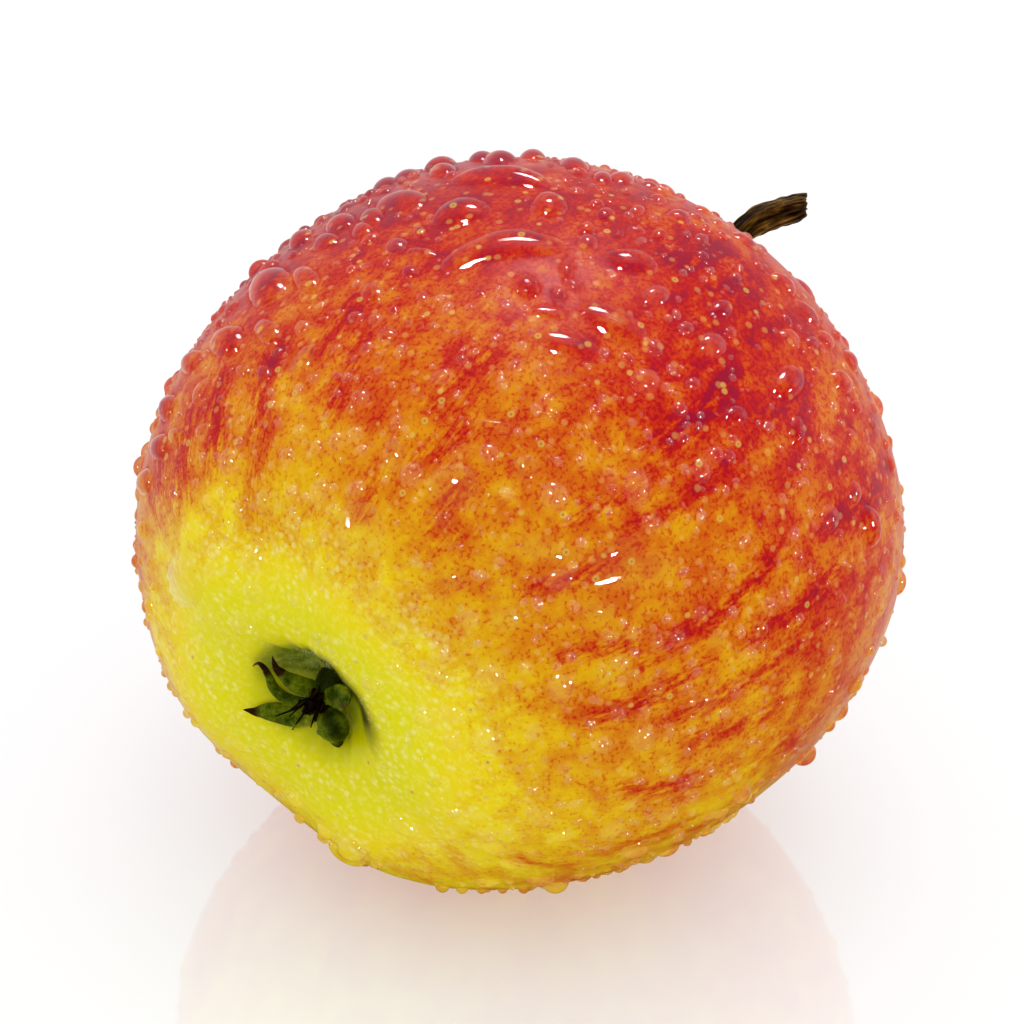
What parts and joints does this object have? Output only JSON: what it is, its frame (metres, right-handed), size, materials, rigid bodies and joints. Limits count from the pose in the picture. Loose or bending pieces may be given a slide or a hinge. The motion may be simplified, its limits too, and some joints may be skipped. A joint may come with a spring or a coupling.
{
  "type": "red apple",
  "caption": "Fresh red and yellow apple with its stem and dried calyx, wet with beads of water, lying tipped over.",
  "frame": {"origin": "middle of the small flat spot that the fruit rests on", "axes": "-Z is the rest spot's outward normal, +X is level and lies under the core axis, towards the stem"},
  "size_m": [0.0814, 0.0749, 0.0706],
  "materials": {
    "skin": "smooth waxy apple skin, red streaks over yellow, lime green round the calyx",
    "stem": "dry ridged brown stalk",
    "sepal": "dried green leaf with brown tips and downy edges",
    "stamen": "withered dark brown filaments",
    "water": "clear water"
  },
  "bodies": {
    "root": {"fruit": "skin", "stem": "stem", "calyx": "sepal", "stamens": "stamen"}
  },
  "joints": []
}
